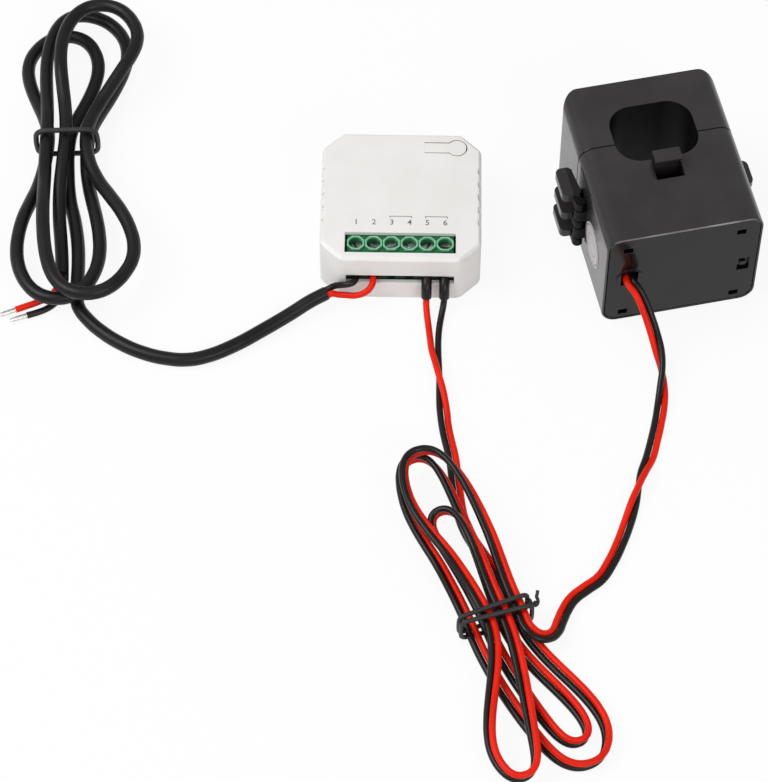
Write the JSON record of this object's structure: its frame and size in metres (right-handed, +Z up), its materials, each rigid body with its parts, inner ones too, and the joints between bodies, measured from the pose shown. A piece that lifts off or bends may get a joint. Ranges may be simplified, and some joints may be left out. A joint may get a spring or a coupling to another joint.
{
  "type": "smart energy monitor",
  "caption": "Flat white energy monitor module with screw terminals, a hinged split-core current clamp on a two-wire lead and a supply cable, both cables folded into tied hanks.",
  "frame": {"origin": "middle of the module's flat base, on the surface it lies on", "axes": "+Z up, +X to the right along the terminal row, +Y from the terminals towards the pairing button"},
  "size_m": [0.2161, 0.2611, 0.0408],
  "materials": {
    "white_shell": "fine matt moulding",
    "green_block": "satin moulding",
    "circuit_board": "solder mask",
    "steel": "plated",
    "brass": "stamped",
    "tinned_copper": "tinned strands",
    "dark_components": "moulded",
    "pale_components": "moulded",
    "capacitor_sleeve": "shrink sleeve",
    "blue_coating": "dipped coating",
    "black_shell": "satin moulding",
    "core_steel": "laminated core",
    "winding": "enamelled wire",
    "label_paper": "bare sticker",
    "black_jacket": "satin jacket",
    "red_jacket": "satin insulation"
  },
  "bodies": {
    "monitor": {"top_cover": "white_shell", "base_cover": "white_shell", "terminal_block": "green_block", "main_pcb": "circuit_board", "clamp_board": "circuit_board", "wireless_module": "circuit_board", "rf_shield": "steel", "hinge_pin": "steel", "latch_pin": "steel", "terminal_contacts": "brass", "wire_pins": "tinned_copper", "tinned_ends": "tinned_copper", "tact_switch": "dark_components", "metering_chip": "dark_components", "power_transformer": "pale_components", "x_capacitor": "pale_components", "fuse_resistor": "pale_components", "bobbin": "pale_components", "electrolytic_capacitor": "capacitor_sleeve", "varistor": "blue_coating", "clamp_case": "black_shell", "clamp_end_cap": "black_shell", "lower_core": "core_steel", "secondary_winding": "winding", "case_label": "label_paper", "mains_run": "black_jacket", "mains_hank": "black_jacket", "mains_black_core": "black_jacket", "tail_black_core": "black_jacket", "wire_sleeves": "black_jacket", "lead_black_run": "black_jacket", "lead_black_hank": "black_jacket", "lead_black_end": "black_jacket", "mains_band": "black_jacket", "lead_tie": "black_jacket", "mains_red_core": "red_jacket", "tail_red_core": "red_jacket", "lead_red_run": "red_jacket", "lead_red_hank": "red_jacket", "lead_red_end": "red_jacket"},
    "jaw": {"clamp_jaw": "black_shell", "upper_core": "core_steel"},
    "latch": {"latch_clip": "black_shell"},
    "button": {"pairing_button": "white_shell"},
    "plunger": {"switch_plunger": "pale_components"},
    "screw_1": {"terminal_screw_1": "steel"},
    "cage_1": {"clamp_cage_1": "steel"},
    "screw_2": {"terminal_screw_2": "steel"},
    "cage_2": {"clamp_cage_2": "steel"},
    "screw_3": {"terminal_screw_3": "steel"},
    "cage_3": {"clamp_cage_3": "steel"},
    "screw_4": {"terminal_screw_4": "steel"},
    "cage_4": {"clamp_cage_4": "steel"},
    "screw_5": {"terminal_screw_5": "steel"},
    "cage_5": {"clamp_cage_5": "steel"},
    "screw_6": {"terminal_screw_6": "steel"},
    "cage_6": {"clamp_cage_6": "steel"}
  },
  "joints": [
    {"name": "jaw_hinge", "type": "hinge", "parent": "monitor", "child": "jaw", "pos_m": [0.09727, 0.00847, 0.0165], "axis": [0, 0, -1], "range_deg": [0, 95]},
    {"name": "latch_hinge", "type": "hinge", "parent": "monitor", "child": "latch", "pos_m": [0.0506, -0.00897, 0.0185], "axis": [0, 0, 1], "range_deg": [-5.5, 8], "stiffness_Nm_per_rad": 0.02},
    {"name": "button_hinge", "type": "hinge", "parent": "monitor", "child": "button", "pos_m": [0.0065, 0.0178, 0.0166], "axis": [0, 1, 0], "range_deg": [0, 1.8], "stiffness_Nm_per_rad": 0.45},
    {"name": "plunger_slide", "type": "slide", "parent": "monitor", "child": "plunger", "axis": [0, 0, 1], "range_m": [-0.00025, 0]},
    {"name": "screw_1_turn", "type": "hinge", "parent": "monitor", "child": "screw_1", "pos_m": [-0.0127, -0.0164, 0.0145], "axis": [0, 0, -1], "range_deg": [-1441, 0]},
    {"name": "cage_1_rise", "type": "slide", "parent": "monitor", "child": "cage_1", "axis": [0, 0, 1], "range_m": [-0.0018, 0]},
    {"name": "screw_2_turn", "type": "hinge", "parent": "monitor", "child": "screw_2", "pos_m": [-0.00762, -0.0164, 0.0145], "axis": [0, 0, -1], "range_deg": [-1441, 0]},
    {"name": "cage_2_rise", "type": "slide", "parent": "monitor", "child": "cage_2", "axis": [0, 0, 1], "range_m": [-0.0018, 0]},
    {"name": "screw_3_turn", "type": "hinge", "parent": "monitor", "child": "screw_3", "pos_m": [-0.00254, -0.0164, 0.0145], "axis": [0, 0, -1], "range_deg": [0, 1441]},
    {"name": "cage_3_rise", "type": "slide", "parent": "monitor", "child": "cage_3", "axis": [0, 0, 1], "range_m": [0, 0.0018]},
    {"name": "screw_4_turn", "type": "hinge", "parent": "monitor", "child": "screw_4", "pos_m": [0.00254, -0.0164, 0.0145], "axis": [0, 0, -1], "range_deg": [0, 1441]},
    {"name": "cage_4_rise", "type": "slide", "parent": "monitor", "child": "cage_4", "axis": [0, 0, 1], "range_m": [0, 0.0018]},
    {"name": "screw_5_turn", "type": "hinge", "parent": "monitor", "child": "screw_5", "pos_m": [0.00762, -0.0164, 0.0145], "axis": [0, 0, -1], "range_deg": [-1441, 0]},
    {"name": "cage_5_rise", "type": "slide", "parent": "monitor", "child": "cage_5", "axis": [0, 0, 1], "range_m": [-0.0018, 0]},
    {"name": "screw_6_turn", "type": "hinge", "parent": "monitor", "child": "screw_6", "pos_m": [0.0127, -0.0164, 0.0145], "axis": [0, 0, -1], "range_deg": [-1441, 0]},
    {"name": "cage_6_rise", "type": "slide", "parent": "monitor", "child": "cage_6", "axis": [0, 0, 1], "range_m": [-0.0018, 0]}
  ],
  "couplings": [
    {"joint": "button_hinge", "follows": "plunger_slide", "rad_per_m": -123.46},
    {"joint": "screw_1_turn", "follows": "cage_1_rise", "rad_per_m": 13963},
    {"joint": "screw_2_turn", "follows": "cage_2_rise", "rad_per_m": 13963},
    {"joint": "screw_3_turn", "follows": "cage_3_rise", "rad_per_m": 13963},
    {"joint": "screw_4_turn", "follows": "cage_4_rise", "rad_per_m": 13963},
    {"joint": "screw_5_turn", "follows": "cage_5_rise", "rad_per_m": 13963},
    {"joint": "screw_6_turn", "follows": "cage_6_rise", "rad_per_m": 13963}
  ]
}
